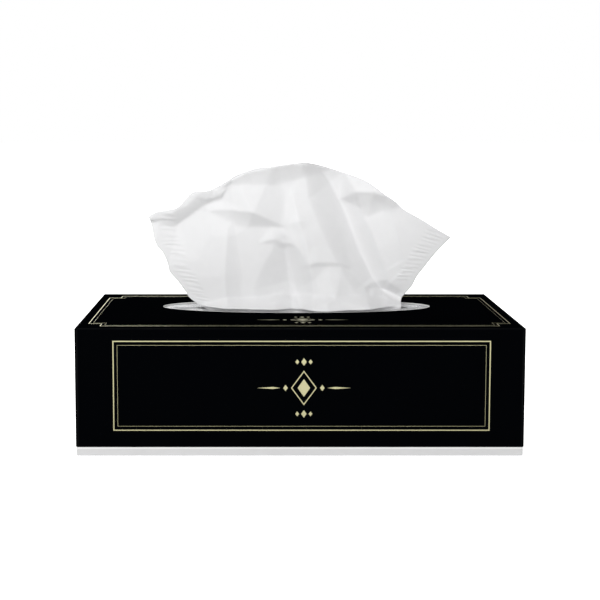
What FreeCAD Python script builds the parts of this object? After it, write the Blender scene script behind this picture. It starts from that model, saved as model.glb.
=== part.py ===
"""Flat carton of interfolded facial tissues, with one sheet drawn up through its film window.

Frame, in millimetres: +X along the carton, +Y to its back, +Z up. The origin is the middle of the
base, on the surface that the carton stands on.
"""
import FreeCAD, Part
import math
import os

import Sketcher
from FreeCAD import Vector

# Driving dimensions: name, value in millimetres, what it is.
SIZES = [
    ("box_length", 230.0, "carton along X, over its end flaps"),
    ("box_depth", 115.0, "carton along Y"),
    ("box_height", 66.5, "carton along Z"),
    ("board", 0.4, "thickness of the paperboard"),
    ("fold_radius", 0.7, "outer radius of a long fold, and of the fold over an outer end flap"),
    ("inner_fold_radius", 0.35, "outer radius of the fold under an inner end flap"),
    ("flap_clear", 0.6, "the end flaps are cut this much inside the long panels"),
    ("flap_foot", 4.7, "the outer end flap stops this far above the base"),
    ("dust_flap", 48.0, "reach of a dust flap across the end"),
    ("seam_flap", 14.0, "height of the glue flap inside the back panel"),
    ("mouth_length", 150.0, "oval mouth in the top panel, along X"),
    ("mouth_width", 44.0, "oval mouth, along Y"),
    ("mouth_back", 11.5, "centre of the mouth behind the middle of the panel"),
    ("film", 0.12, "thickness of the window film"),
    ("film_margin", 9.0, "glued border of the film around the mouth"),
    ("slit_length", 126.0, "slit in the film, along X"),
    ("slit_width", 11.0, "slit as the drawn sheet holds it open"),
    ("slit_free_left", 12.0, "from the left end of the slit to the drawn sheet"),
    ("slit_free_right", 3.5, "from the right end of the slit to the drawn sheet"),
    ("lip_clear", 1.0, "from the folds of the drawn sheet to the lips of the slit"),
    ("headspace", 11.5, "from the top of the pack to the inside of the top panel"),
    ("pack_end_clear", 12.3, "from the pack to the inside of each end"),
    ("pack_side_clear", 6.6, "from the pack to the inside of each long panel"),
    ("pack_corner", 2.0, "softened upper edges of the pack"),
    ("sheet", 0.5, "thickness of the drawn sheet"),
    ("sheet_inset", 1.5, "the drawn sheet's sides lie this far inside the ends of the pack"),
    ("layer_gap", 1.2, "between the two layers of the drawn sheet that lie on the pack"),
    ("fan_start", 2.0, "height above the top panel where its folds have opened out"),
    ("drape", 12.5, "its folds lean no further to the front over the film than this"),
]

# The standing half of the drawn sheet as seen from the front, for a sheet of 200 mm:
# places along X from the middle of the mouth and heights above the top panel.
DRAWN_FOR = 200.0
FREE_EDGE = [
    (-83.6, 50.7), (-68.8, 55.3), (-57.5, 64.6), (-48.0, 66.0), (-33.1, 74.5),
    (-15.0, 79.1), (7.1, 81.3), (34.9, 72.8), (55.9, 59.2), (87.6, 38.8),
]
LEFT_SIDE = [(-66.0, 14.5), (-76.5, 30.3), (-81.9, 43.0)]
RIGHT_SIDE = [(61.5, 6.0), (72.9, 21.8)]

# Its creases: the line as (x, up, how far it stands to the front or back), and how far its flanks
# reach at its highest: above and below a line drawn to the right, left and right of one drawn up.
CREASES = [
    ([(-49, 54.3, 0.5), (-32, 53.4, 6.0), (-23, 50.5, 6.5), (-10, 46.5, 1.0)], 22.0, 9.0),
    ([(-40, 71, 0.5), (-15, 79, 5.0), (5, 81.3, 8.0), (14, 79.5, 7.0)], 3.0, 14.0),
    ([(-78, 47.5, -2.5), (-68, 45.5, -5.5), (-58, 53, -3.5), (-50, 58, -5.0), (-42, 60, -5.0),
      (-38, 69, -1.5)], 9.0, 10.0),
    ([(-39, 2, 2.2), (-40.5, 17, 2.8), (-38.5, 45, 1.0)], 24.0, 10.0),
    ([(2, 0, -6.5), (-3, 13.6, -5.5), (-5, 25, -3.6), (-7, 35.5, -1.6)], 22.0, 6.0),
    ([(9, 0, 3.5), (8.5, 21, 4.0), (5, 38, 3.6), (0, 51, 2.5), (-3, 62, 0.8)], 12.0, 20.0),
    ([(60, -1, -5.5), (48, 9, -7.5), (43, 16, -9.5), (35.5, 33, -11.0), (28, 52, -11.5),
      (19, 70, -10.0), (12, 79, -6.0)], 21.0, 13.0),
    ([(54, 12, 2.0), (46, 33, 3.6), (40, 47, 3.8), (32, 60, 2.0)], 12.0, 16.0),
    ([(25.4, 60.7, 0.8), (33, 65.3, 4.5), (49, 64.1, 7.0)], 15.0, 12.0),
    ([(8, 2, 5.0), (22, 7, 7.5), (40, 2, 4.0)], 18.0, 14.0),
    ([(-50, 0, 4.0), (-30, 0.5, 6.5), (-10, 0, 8.0), (10, 0, 8.5), (40, 0, 8.0), (60, 0, 4.0)],
     7.0, 7.0),
]
CREST = 1.3  # how fast a flank falls off beside its crease
CORNERS = (-60.0, 48.0)  # beyond these places along X the sheet curves to the back
CORNER_CURVE = 0.006
FOLDED_IN_SLIT = 0.12  # share of a crease's depth that is left where the slit gathers the sheet

# Where the sheet bends from the slit onto the pack: share of its drop, way to the front in mm,
# share of its spread to full width, and the side of its thickness along Y and Z.
BEND = [
    (0.15, 0.0, 0.00, (1.0, 0.0)),
    (0.40, 1.0, 0.12, (1.0, 0.0)),
    (0.75, 3.5, 0.35, (0.7, -0.7)),
    (0.95, 9.0, 0.65, (0.0, -1.0)),
    (1.00, 20.0, 0.92, (0.0, -1.0)),
    (1.00, 30.0, 1.00, (0.0, -1.0)),
]
TURN_REACH = 1.2  # the fold at the front of the pack is this deep
COLUMNS = 44  # flat facets of the drawn sheet from side to side
FAN_ROWS = 20  # and from the slit to the free edge
ROW_CROWDING = 1.25  # the rows lie closer near the slit


def make_sizes(doc):
    """The spreadsheet that every sub-part is bound to."""
    cells = doc.addObject("Spreadsheet::Sheet", "Sizes")
    for row, (name, value, meaning) in enumerate(SIZES, start=1):
        cells.set(f"A{row}", name)
        cells.set(f"B{row}", str(value))
        cells.set(f"C{row}", meaning)
        cells.setAlias(f"B{row}", name)
    doc.recompute()
    return cells


def new_body(doc, label):
    body = doc.addObject("PartDesign::Body", label)
    body.Label = label
    return body


def origin_plane(body, role):
    return next(item for item in body.Origin.OriginFeatures if item.Role == role)


def new_sketch(body, name, role, offset):
    """A sketch on one of the body's origin planes, moved along the plane's normal."""
    sketch = body.newObject("Sketcher::SketchObject", name)
    sketch.AttachmentSupport = [(origin_plane(body, role), "")]
    sketch.MapMode = "FlatFace"
    sketch.setExpression("AttachmentOffset.Base.z", offset)
    return sketch


def bind(sketch, expression, kind, *values):
    """Adds a dimension to the sketch and ties it to the sizes."""
    index = sketch.addConstraint(Sketcher.Constraint(kind, *values))
    sketch.setExpression(f"Constraints[{index}]", expression)


def add_rectangle(sketch, width, height, low_x, low_y):
    """A rectangle whose size and lower left corner are expressions."""
    corners = [Vector(0, 0, 0), Vector(10, 0, 0), Vector(10, 10, 0), Vector(0, 10, 0)]
    first = sketch.GeometryCount
    for i in range(4):
        sketch.addGeometry(Part.LineSegment(corners[i], corners[(i + 1) % 4]))
    for i in range(4):
        sketch.addConstraint(Sketcher.Constraint("Coincident", first + i, 2, first + (i + 1) % 4, 1))
        direction = "Horizontal" if i % 2 == 0 else "Vertical"
        sketch.addConstraint(Sketcher.Constraint(direction, first + i))
    bind(sketch, width, "DistanceX", first, 1, first, 2, 10.0)
    bind(sketch, height, "DistanceY", first + 1, 1, first + 1, 2, 10.0)
    bind(sketch, low_x, "DistanceX", -1, 1, first, 1, 1.0)
    bind(sketch, low_y, "DistanceY", -1, 1, first, 1, 1.0)


def add_ellipse(sketch, length, width, centre_y):
    """An ellipse along the sketch's first axis, centred on its second."""
    curve = sketch.addGeometry(Part.Ellipse(Vector(20, 0, 0), Vector(0, 10, 0), Vector(0, 0, 0)))
    sketch.exposeInternalGeometry(curve)
    long_axis, short_axis = curve + 1, curve + 2
    sketch.addConstraint(Sketcher.Constraint("Horizontal", long_axis))
    sketch.addConstraint(Sketcher.Constraint("PointOnObject", curve, 3, -2))
    bind(sketch, length, "Distance", long_axis, 40.0)
    bind(sketch, width, "Distance", short_axis, 20.0)
    bind(sketch, centre_y, "DistanceY", -1, 1, curve, 3, 1.0)


def add_pad(body, sketch, name, length, midplane=False):
    feature = body.newObject("PartDesign::Pad", name)
    feature.Profile = sketch
    feature.setExpression("Length", length)
    feature.Midplane = midplane
    return feature


def add_pocket(body, sketch, name, length):
    feature = body.newObject("PartDesign::Pocket", name)
    feature.Profile = sketch
    feature.setExpression("Length", length)
    return feature


def add_fillet(doc, body, base, name, radius, along, wanted):
    """Rounds the straight edges of base along one axis whose two ends satisfy wanted(point)."""
    doc.recompute()
    chosen = []
    for i, edge in enumerate(base.Shape.Edges, start=1):
        ends = [vertex.Point for vertex in edge.Vertexes]
        if len(ends) == 2 and all(wanted(point) for point in ends):
            if along is None or (ends[1] - ends[0]).normalize().dot(along) ** 2 > 0.999:
                chosen.append(f"Edge{i}")
    feature = body.newObject("PartDesign::Fillet", name)
    feature.Base = (base, chosen)
    feature.setExpression("Radius", radius)
    return feature


def near(a, b):
    return abs(a - b) < 1e-4


def build_carton(doc, size):
    """One folded and glued blank: four long panels and three layers of flaps at each end."""
    body = new_body(doc, "carton")
    half_length, half_depth = size["box_length"] / 2, size["box_depth"] / 2
    height, board = size["box_height"], size["board"]

    section = new_sketch(body, "panel_section", "YZ_Plane", "0 mm")
    add_rectangle(section, "Sizes.box_depth", "Sizes.box_height", "-Sizes.box_depth / 2", "0")
    add_rectangle(section, "Sizes.box_depth - 2 * Sizes.board", "Sizes.box_height - 2 * Sizes.board",
                  "-Sizes.box_depth / 2 + Sizes.board", "Sizes.board")
    panels = add_pad(body, section, "long_panels", "Sizes.box_length - 4 * Sizes.board", True)
    add_fillet(doc, body, panels, "long_folds", "Sizes.fold_radius", Vector(1, 0, 0),
               lambda p: near(abs(p.y), half_depth) and (near(p.z, 0) or near(p.z, height)))

    seam = new_sketch(body, "seam_outline", "YZ_Plane", "0 mm")
    add_rectangle(seam, "Sizes.board", "Sizes.seam_flap",
                  "Sizes.box_depth / 2 - 2 * Sizes.board", "Sizes.board / 2")
    add_pad(body, seam, "seam_flap", "Sizes.box_length - 8 * Sizes.board", True)

    across = "Sizes.box_depth - 2 * Sizes.flap_clear"
    side = "-Sizes.box_depth / 2 + Sizes.flap_clear"
    end = []
    dust_sides = [("front", "-Sizes.box_depth / 2"), ("back", "Sizes.box_depth / 2 - Sizes.dust_flap")]
    for name, low in dust_sides:
        dust = new_sketch(body, f"dust_outline_{name}", "YZ_Plane",
                          "Sizes.box_length / 2 - 3 * Sizes.board")
        add_rectangle(dust, "Sizes.dust_flap", "Sizes.box_height - 2 * Sizes.fold_radius",
                      low, "Sizes.fold_radius")
        end.append(add_pad(body, dust, f"dust_flap_{name}", "Sizes.board"))

    inner = new_sketch(body, "inner_outline", "YZ_Plane", "Sizes.box_length / 2 - 2 * Sizes.board")
    add_rectangle(inner, across, "Sizes.box_height - Sizes.board", side, "0")
    end.append(add_pad(body, inner, "inner_flap", "Sizes.board"))

    outer = new_sketch(body, "outer_outline", "YZ_Plane", "Sizes.box_length / 2 - Sizes.board")
    add_rectangle(outer, across, "Sizes.box_height - Sizes.flap_foot", side, "Sizes.flap_foot")
    end.append(add_pad(body, outer, "outer_flap", "Sizes.board"))

    neck = new_sketch(body, "top_fold_outline", "YZ_Plane", "Sizes.box_length / 2 - 2 * Sizes.board")
    add_rectangle(neck, across, "Sizes.board", side, "Sizes.box_height - Sizes.board")
    end.append(add_pad(body, neck, "top_fold", "2 * Sizes.board"))

    both_ends = body.newObject("PartDesign::Mirrored", "both_ends")
    both_ends.Originals = end
    both_ends.MirrorPlane = (origin_plane(body, "YZ_Plane"), [""])
    body.Tip = both_ends
    top_folds = add_fillet(doc, body, both_ends, "top_end_folds",
                           "min(Sizes.fold_radius; 1.75 * Sizes.board)", Vector(0, 1, 0),
                           lambda p: near(abs(p.x), half_length) and near(p.z, height))
    add_fillet(doc, body, top_folds, "bottom_end_folds",
               "min(Sizes.inner_fold_radius; 0.875 * Sizes.board)", Vector(0, 1, 0),
               lambda p: near(abs(p.x), half_length - board) and near(p.z, 0))

    mouth = new_sketch(body, "mouth_outline", "XY_Plane", "Sizes.box_height")
    add_ellipse(mouth, "Sizes.mouth_length", "Sizes.mouth_width", "Sizes.mouth_back")
    add_pocket(body, mouth, "mouth", "2 * Sizes.board")
    return body


def build_film(doc):
    """The window: a rectangle of film glued under the top panel, with a slit along its middle."""
    body = new_body(doc, "film_window")
    outline = new_sketch(body, "film_outline", "XY_Plane",
                         "Sizes.box_height - Sizes.board - Sizes.film")
    add_rectangle(outline, "Sizes.mouth_length + 2 * Sizes.film_margin",
                  "Sizes.mouth_width + 2 * Sizes.film_margin",
                  "-Sizes.mouth_length / 2 - Sizes.film_margin",
                  "Sizes.mouth_back - Sizes.mouth_width / 2 - Sizes.film_margin")
    add_pad(body, outline, "film", "Sizes.film")
    slit = new_sketch(body, "slit_outline", "XY_Plane", "Sizes.box_height - Sizes.board")
    add_ellipse(slit, "Sizes.slit_length", "Sizes.slit_width", "Sizes.mouth_back")
    add_pocket(body, slit, "slit", "2 * Sizes.film")
    return body


def build_pack(doc, size):
    """The interfolded sheets that are still in the carton, as one block on the bottom panel."""
    body = new_body(doc, "tissue_pack")
    along = "(Sizes.box_length - 6 * Sizes.board - 2 * Sizes.pack_end_clear)"
    across = "(Sizes.box_depth - 2 * Sizes.board - 2 * Sizes.pack_side_clear)"
    outline = new_sketch(body, "pack_outline", "XY_Plane", "Sizes.board")
    add_rectangle(outline, along, across, f"-{along} / 2", f"-{across} / 2")
    block = add_pad(body, outline, "folded_sheets",
                    "Sizes.box_height - 2 * Sizes.board - Sizes.headspace")
    add_fillet(doc, body, block, "soft_edges", "Sizes.pack_corner", None,
               lambda p: p.z > size["board"] + size["pack_corner"])
    return body


def spline(points, share):
    """A point on the smooth curve through the given points, for a share of its way from 0 to 1."""
    spans = len(points) - 1
    place = min(max(share, 0.0), 1.0) * spans
    i = min(int(place), spans - 1)
    f = place - i
    weights = (-0.5 * f + f * f - 0.5 * f ** 3, 1 - 2.5 * f * f + 1.5 * f ** 3,
               0.5 * f + 2 * f * f - 1.5 * f ** 3, -0.5 * f * f + 0.5 * f ** 3)
    around = [points[min(max(i + k, 0), spans)] for k in (-1, 0, 1, 2)]
    return [sum(w * point[axis] for w, point in zip(weights, around)) for axis in (0, 1)]


def smooth(share):
    share = min(max(share, 0.0), 1.0)
    return share * share * (3 - 2 * share)


def crease_depth(x, up, line, left_reach, right_reach):
    """How far one crease brings the sheet to the front at a place seen from the front."""
    highest = max(abs(height) for _, _, height in line)
    nearest = None
    for start, end in zip(line, line[1:]):
        run = (end[0] - start[0], end[1] - start[1])
        share = ((x - start[0]) * run[0] + (up - start[1]) * run[1]) / (run[0] ** 2 + run[1] ** 2)
        share = min(max(share, 0.0), 1.0)
        gap = (x - start[0] - share * run[0], up - start[1] - share * run[1])
        away = math.hypot(*gap)
        if nearest is None or away < nearest:
            nearest = away
            height = start[2] + (end[2] - start[2]) * share
            reach = left_reach if run[0] * gap[1] > run[1] * gap[0] else right_reach
    reach *= abs(height) / highest
    return height * max(0.0, 1 - nearest / reach) ** CREST


def front_depth(x, up):
    """How far all creases and the curved corners bring the sheet to the front."""
    total = sum(crease_depth(x, up, *crease) for crease in CREASES)
    beyond = max(0.0, CORNERS[0] - x, x - CORNERS[1])
    return total - CORNER_CURVE * beyond ** 2


def fan_point(size, side, u, v):
    """A point of the standing half: u from side to side, v from the slit to the free edge."""
    scale = side / DRAWN_FOR
    left_foot = (-(size["slit_length"] / 2 - size["slit_free_left"]) / scale, 0.0)
    right_foot = ((size["slit_length"] / 2 - size["slit_free_right"]) / scale, 0.0)
    left = spline([left_foot] + LEFT_SIDE + [FREE_EDGE[0]], v)
    right = spline([right_foot] + RIGHT_SIDE + [FREE_EDGE[-1]], v)
    top = spline(FREE_EDGE, u)
    place = []
    for axis in (0, 1):
        between_sides = (1 - u) * left[axis] + u * right[axis]
        between_corners = (1 - u) * FREE_EDGE[0][axis] + u * FREE_EDGE[-1][axis]
        place.append(between_sides + v * (top[axis] - between_corners))
    x, up = place

    opened = smooth(up * scale / size["fan_start"])
    front = front_depth(x, up) * scale * (FOLDED_IN_SLIT + (1 - FOLDED_IN_SLIT) * opened)
    half_slit = size["slit_length"] / 2
    lip = size["slit_width"] / 2 - size["lip_clear"] - size["sheet"]
    in_slit = lip * math.sqrt(max(0.0, 1 - (x * scale / half_slit) ** 2))
    room = in_slit + opened * size["mouth_width"]
    front = max(-room, min(in_slit + opened * (size["drape"] - in_slit), front))
    return Vector(x * scale, size["mouth_back"] - front, size["box_height"] + up * scale)


def sheet_rows(size):
    """Rows of points from the free edge down through the slit and over the pack."""
    inside = size["box_length"] / 2 - 3 * size["board"]
    reach = inside - size["pack_end_clear"] - size["sheet_inset"]
    side = 2 * reach
    thick = size["sheet"]
    us = [i / COLUMNS for i in range(COLUMNS + 1)]
    vs = [(1 - j / FAN_ROWS) ** ROW_CROWDING for j in range(FAN_ROWS + 1)]
    rows = [[fan_point(size, side, u, v) for u in us] for v in vs]
    offsets = [Vector(0, thick, 0)] * len(rows)

    pack_top = size["box_height"] - size["board"] - size["headspace"]
    pack_front = -size["box_depth"] / 2 + size["board"] + size["pack_side_clear"]
    under_film = size["box_height"] - size["board"] - size["film"]
    upper = pack_top + 2 * thick + size["layer_gap"]
    drop = under_film - upper
    left = -(size["slit_length"] / 2 - size["slit_free_left"])
    right = size["slit_length"] / 2 - size["slit_free_right"]
    course = [(size["mouth_back"] - way, under_film - share * drop, spread, toward)
              for share, way, spread, toward in BEND]
    turn = pack_front + size["pack_corner"]
    course += [
        ((course[-1][0] + turn) / 2, upper, 1.0, (0.0, -1.0)),
        (turn + TURN_REACH, upper, 1.0, (0.0, -1.0)),
        (turn, (pack_top + upper) / 2, 1.0, (1.0, 0.0)),
        (turn + TURN_REACH, pack_top, 1.0, (0.0, 1.0)),
    ]
    centre = [row[COLUMNS // 2] for row in rows] + [Vector(0, y, z) for y, z, _, _ in course]
    used = sum((b - a).Length for a, b in zip(centre, centre[1:]))
    under = turn + TURN_REACH + side - used
    course += [((turn + under) / 2, pack_top, 1.0, (0.0, 1.0)), (under, pack_top, 1.0, (0.0, 1.0))]
    for y, z, spread, (side_y, side_z) in course:
        low = left + spread * (-reach - left)
        high = right + spread * (reach - right)
        rows.append([Vector(low + (high - low) * u, y, z) for u in us])
        offsets.append(Vector(0, side_y, side_z) * thick)
    return rows, offsets


def solid_between(rows, offsets):
    """A closed solid between a grid of points and the same grid moved by each row's offset."""
    columns = len(rows[0])
    points = [point for row in rows for point in row]
    points += [point + offset for row, offset in zip(rows, offsets) for point in row]
    back = len(rows) * columns
    facets = []

    def add_quad(a, b, c, d):
        facets.append((a, b, c))
        facets.append((a, c, d))

    for j in range(len(rows) - 1):
        for i in range(columns - 1):
            a = j * columns + i
            b, c, d = a + 1, a + 1 + columns, a + columns
            add_quad(a, d, c, b)
            add_quad(back + a, back + b, back + c, back + d)
        left, right = j * columns, j * columns + columns - 1
        add_quad(left, back + left, back + left + columns, left + columns)
        add_quad(right, right + columns, back + right + columns, back + right)
    last = (len(rows) - 1) * columns
    for i in range(columns - 1):
        add_quad(i, i + 1, back + i + 1, back + i)
        add_quad(last + i, back + last + i, back + last + i + 1, last + i + 1)
    shell = Part.Shape()
    shell.makeShapeFromMesh((points, facets), 0.001)
    solid = Part.makeSolid(shell)
    if solid.Volume < 0:
        solid.reverse()
    return solid


def build_sheet(doc, size):
    """The drawn sheet: one half stands fanned out above the slit, the other lies on the pack."""
    feature = doc.addObject("Part::Feature", "drawn_sheet")
    feature.Label = "drawn_sheet"
    feature.Shape = solid_between(*sheet_rows(size))
    feature.Placement = FreeCAD.Placement()
    return feature


def check(doc, parts):
    """Stops at any failed object, and at a sub-part that isn't a valid solid."""
    for item in doc.Objects:
        if {"Invalid", "Error"} & set(item.State):
            raise RuntimeError(f"{item.Label} failed: {item.State}")
    for part in parts:
        if part.Shape.isNull() or not part.Shape.isValid() or not part.Shape.Solids:
            raise RuntimeError(f"{part.Label} has no valid solid")


def main():
    doc = FreeCAD.newDocument("tissue_box")
    cells = make_sizes(doc)
    size = {name: float(cells.get(name)) for name, _, _ in SIZES}
    parts = [build_carton(doc, size), build_film(doc), build_pack(doc, size), build_sheet(doc, size)]
    doc.recompute()
    check(doc, parts)
    os.makedirs("parts", exist_ok=True)
    for part in parts:
        part.Shape.exportStep(f"parts/{part.Label}.step")
        box = part.Shape.BoundBox
        print(part.Label, len(part.Shape.Solids), "solid", round(part.Shape.Volume, 1), "mm3",
              [round(v, 2) for v in (box.XMin, box.YMin, box.ZMin, box.XMax, box.YMax, box.ZMax)])


main()
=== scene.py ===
"""A flat black carton of facial tissues, with one tissue drawn up through its film window."""

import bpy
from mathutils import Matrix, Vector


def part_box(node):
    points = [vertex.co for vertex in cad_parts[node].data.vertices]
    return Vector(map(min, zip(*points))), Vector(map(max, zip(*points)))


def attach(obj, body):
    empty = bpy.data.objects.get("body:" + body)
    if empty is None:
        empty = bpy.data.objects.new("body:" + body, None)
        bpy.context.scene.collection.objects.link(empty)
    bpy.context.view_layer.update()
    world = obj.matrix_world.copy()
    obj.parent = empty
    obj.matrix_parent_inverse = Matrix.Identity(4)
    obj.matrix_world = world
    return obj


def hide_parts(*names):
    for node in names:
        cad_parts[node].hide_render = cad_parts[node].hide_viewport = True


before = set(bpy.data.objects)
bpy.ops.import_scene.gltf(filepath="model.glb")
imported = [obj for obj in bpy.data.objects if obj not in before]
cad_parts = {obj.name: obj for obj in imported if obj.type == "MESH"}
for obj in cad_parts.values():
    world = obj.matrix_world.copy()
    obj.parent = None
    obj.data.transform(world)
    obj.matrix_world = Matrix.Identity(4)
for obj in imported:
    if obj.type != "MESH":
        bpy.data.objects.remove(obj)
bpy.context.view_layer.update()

import math

import bmesh
import bpy
import numpy as np
from mathutils import Vector

# Carton: one blank of white-lined paperboard, printed black outside, folded square and glued at
# the back seam and at both ends. The print stops short of the foot, where the pale board is bare.
MM = 0.001
HALF_LENGTH, HALF_DEPTH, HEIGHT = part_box("carton")[1]
BARE_FOOT = 4.7 * MM  # the height of the strip that isn't printed
PRINT_SKIN = 0.25 * MM  # how deep behind the outer faces the print colour counts
FLAP_STACK = 1.0 * MM  # and how much deeper at the ends, where printed flaps lie over each other
MOUTH_HALF_LENGTH, MOUTH_HALF_WIDTH, MOUTH_BACK = 75 * MM, 22 * MM, 11.5 * MM
PRINT_BLACK = (0.0007, 0.0009, 0.0013)
# lighter print near the folds: partly worn print, partly a painted highlight on the fold edges
PRINT_WORN_AND_HIGHLIT = (0.006, 0.0062, 0.0065)
WEAR_AND_HIGHLIGHT_FROM, WEAR_AND_HIGHLIGHT_TO = -0.9 * MM, -0.1 * MM  # the print is lighter this near to a fold: partly wear, partly a painted highlight along the fold
CUT_EDGE = 1.002  # the mouth's cut edge, as a share of its radius squared
BARE_BOARD = (0.51, 0.51, 0.512)
BARE_LIGHT = (0.62, 0.62, 0.615)  # a lighter line just below the print
BARE_LINE = 1.0 * MM


def new_material(name):
    """A material, its node tree and its Principled shader."""
    material = bpy.data.materials.new(name)
    material.use_nodes = True
    tree = material.node_tree
    shader = tree.nodes["Principled BSDF"]
    return material, tree, shader


def add_node(tree, kind, inputs=(), **settings):
    """A node whose inputs are numbers or other nodes' outputs, given by index."""
    node = tree.nodes.new(kind)
    for name, value in settings.items():
        setattr(node, name, value)
    for index, value in dict(inputs).items():
        if isinstance(value, bpy.types.NodeSocket):
            tree.links.new(value, node.inputs[index])
        else:
            node.inputs[index].default_value = value
    return node


def math_node(tree, operation, a, b=0.0):
    return add_node(tree, "ShaderNodeMath", {0: a, 1: b}, operation=operation).outputs[0]


def mix_colour(tree, factor, low, high):
    node = add_node(tree, "ShaderNodeMix", {0: factor}, data_type="RGBA")
    for socket, value in ((node.inputs[6], low), (node.inputs[7], high)):
        if isinstance(value, bpy.types.NodeSocket):
            tree.links.new(value, socket)
        else:
            socket.default_value = (*value, 1.0)
    return node.outputs[2]


def make_fibre_group():
    """Paper fibres: soft mottling and a fine uneven surface, used by board and tissue alike."""
    group = bpy.data.node_groups.new("paper_fibres", "ShaderNodeTree")
    face = group.interface
    face.new_socket(name="Place", in_out="INPUT", socket_type="NodeSocketVector")
    for name, value in (("Mottle Size", 6 * MM), ("Fibre Size", 0.5 * MM)):
        socket = face.new_socket(name=name, in_out="INPUT", socket_type="NodeSocketFloat")
        socket.default_value = value
    face.new_socket(name="Mottle", in_out="OUTPUT", socket_type="NodeSocketFloat")
    face.new_socket(name="Fibres", in_out="OUTPUT", socket_type="NodeSocketFloat")
    given = group.nodes.new("NodeGroupInput")
    out = group.nodes.new("NodeGroupOutput")
    mottle_scale = math_node(group, "DIVIDE", 1.0, given.outputs["Mottle Size"])
    fibre_scale = math_node(group, "DIVIDE", 1.0, given.outputs["Fibre Size"])
    mottle = add_node(group, "ShaderNodeTexNoise", {0: given.outputs["Place"], 2: mottle_scale})
    fibres = add_node(group, "ShaderNodeTexNoise", {0: given.outputs["Place"], 2: fibre_scale})
    fibres.inputs["Detail"].default_value = 4.0
    group.links.new(mottle.outputs[0], out.inputs["Mottle"])
    group.links.new(fibres.outputs[0], out.inputs["Fibres"])
    return group


paper_fibres = make_fibre_group()


def add_fibres(tree, place, mottle_size, fibre_size):
    node = tree.nodes.new("ShaderNodeGroup")
    node.node_tree = paper_fibres
    tree.links.new(place, node.inputs["Place"])
    node.inputs["Mottle Size"].default_value = mottle_size
    node.inputs["Fibre Size"].default_value = fibre_size
    return node.outputs["Mottle"], node.outputs["Fibres"]


def make_board():
    """Matt black print over pale board: bare inside, at the foot, and on the mouth's cut edge."""
    material, tree, shader = new_material("printed_board")
    place = add_node(tree, "ShaderNodeTexCoord").outputs["Object"]
    split = add_node(tree, "ShaderNodeSeparateXYZ", {0: place})
    along = math_node(tree, "ABSOLUTE", split.outputs[0])
    across = math_node(tree, "ABSOLUTE", split.outputs[1])
    end = math_node(tree, "SUBTRACT", along, HALF_LENGTH - FLAP_STACK)
    side = math_node(tree, "SUBTRACT", across, HALF_DEPTH)
    top = math_node(tree, "SUBTRACT", split.outputs[2], HEIGHT)
    outermost = math_node(tree, "MAXIMUM", end, math_node(tree, "MAXIMUM", side, top))
    outside = math_node(tree, "GREATER_THAN", outermost, -PRINT_SKIN)
    above_foot = math_node(tree, "GREATER_THAN", split.outputs[2], BARE_FOOT)
    mouth_x = math_node(tree, "DIVIDE", split.outputs[0], MOUTH_HALF_LENGTH)
    from_mouth = math_node(tree, "SUBTRACT", split.outputs[1], MOUTH_BACK)
    mouth_y = math_node(tree, "DIVIDE", from_mouth, MOUTH_HALF_WIDTH)
    squared = math_node(tree, "ADD", math_node(tree, "MULTIPLY", mouth_x, mouth_x),
                        math_node(tree, "MULTIPLY", mouth_y, mouth_y))
    off_cut_edge = math_node(tree, "GREATER_THAN", squared, CUT_EDGE)
    printed = math_node(tree, "MULTIPLY", outside,
                        math_node(tree, "MULTIPLY", above_foot, off_cut_edge))

    second = math_node(tree, "MAXIMUM", math_node(tree, "MINIMUM", side, top),
                       math_node(tree, "MAXIMUM", math_node(tree, "MINIMUM", end, top),
                                 math_node(tree, "MINIMUM", end, side)))
    near_fold = add_node(tree, "ShaderNodeMapRange", {0: second, 1: WEAR_AND_HIGHLIGHT_FROM, 2: WEAR_AND_HIGHLIGHT_TO})
    mottle, fibres = add_fibres(tree, place, 9 * MM, 0.35 * MM)
    # patchy lighter print near the folds: partly wear, partly a painted highlight along the fold
    # edges
    worn_and_highlit = math_node(tree, "MULTIPLY", near_fold.outputs[0], mottle)
    print_colour = mix_colour(tree, worn_and_highlit, PRINT_BLACK, PRINT_WORN_AND_HIGHLIT)
    board_shade = add_node(tree, "ShaderNodeMapRange", {0: mottle, 3: 0.97, 4: 1.03}).outputs[0]
    at_print = math_node(tree, "GREATER_THAN", split.outputs[2], BARE_FOOT - BARE_LINE)
    board_colour = mix_colour(tree, at_print, BARE_BOARD, BARE_LIGHT)
    shaded = add_node(tree, "ShaderNodeVectorMath", {0: board_colour, 1: board_shade},
                      operation="MULTIPLY").outputs[0]
    tree.links.new(mix_colour(tree, printed, shaded, print_colour), shader.inputs["Base Color"])
    roughness = add_node(tree, "ShaderNodeMapRange", {0: fibres, 3: 0.55, 4: 0.7}).outputs[0]
    tree.links.new(roughness, shader.inputs["Roughness"])
    bump = add_node(tree, "ShaderNodeBump", {0: 0.15, 1: 0.02 * MM})
    tree.links.new(fibres, bump.inputs["Height"])
    tree.links.new(bump.outputs[0], shader.inputs["Normal"])
    shader.inputs["Specular IOR Level"].default_value = 0.0
    return material


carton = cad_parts["carton"]
carton.data.materials.clear()
carton.data.materials.append(make_board())


# Gold lines: flat foil pressed onto the print. A double line frames each wall, a frame with
# notched corners runs round the top, and a plain lozenge ornament marks the front and the top.
FOIL = 0.03 * MM  # how far the foil stands above the print
OUTER_LINE, INNER_LINE, LINE_STEP = 0.55 * MM, 0.13 * MM, 2.0 * MM
TOP_FINENESS = 0.6  # the top panel's lines are this much finer
FRONT_SIDE_MARGIN, FRONT_TOP_MARGIN, FRONT_FOOT_MARGIN = 18.6 * MM, 6.5 * MM, 8.6 * MM
END_SIDE_MARGIN = 9.0 * MM
PRINT_SHIFT = 0.8 * MM  # the front print sits this far off the middle
TOP_SIDE, TOP_FRONT, TOP_BACK, NOTCH = 5.4 * MM, 6.1 * MM, 9.0 * MM, 6.8 * MM
ORNAMENT_X, ORNAMENT_TOP_Y, ORNAMENT_TOP_SQUASH = 2.0 * MM, -33.0 * MM, 0.62
FOIL_COLOUR = (0.44, 0.415, 0.245)


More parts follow.
